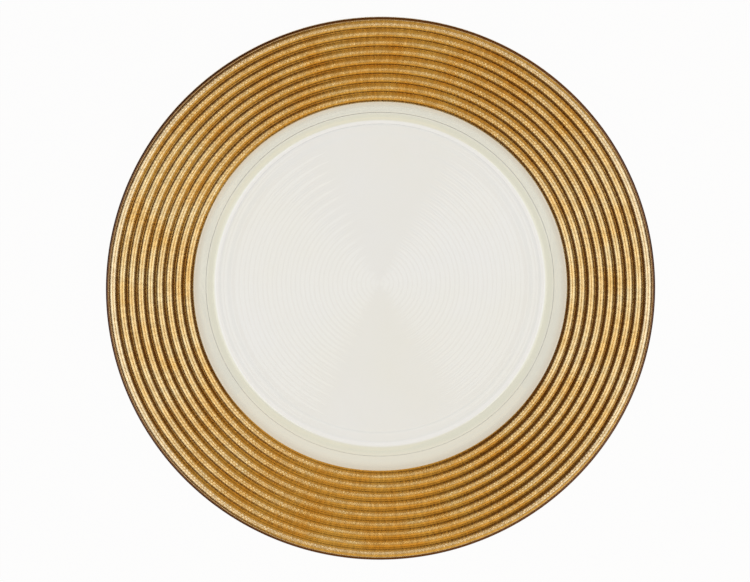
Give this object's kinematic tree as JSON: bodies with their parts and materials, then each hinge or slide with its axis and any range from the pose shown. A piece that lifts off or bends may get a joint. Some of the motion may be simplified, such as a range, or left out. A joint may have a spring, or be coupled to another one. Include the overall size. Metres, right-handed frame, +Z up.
{
  "type": "charger plate",
  "caption": "Round pressed clear glass charger plate whose wide rim is gilded over nine concentric half-round ribs and out to its rounded edge, with a clear well that is faintly rippled beneath.",
  "frame": {"origin": "centre of the foot ring's standing plane, under the middle of the plate", "axes": "+Z up along the plate's axis of symmetry, X and Y level"},
  "size_m": [0.33, 0.33, 0.0259],
  "materials": {
    "clear_glass": "fire-polished clear pressed glass",
    "gold": "bright antique gold, fired over the ribs and the lip"
  },
  "bodies": {
    "root": {"glass_plate": "clear_glass", "gold_coat": "gold"}
  },
  "joints": []
}
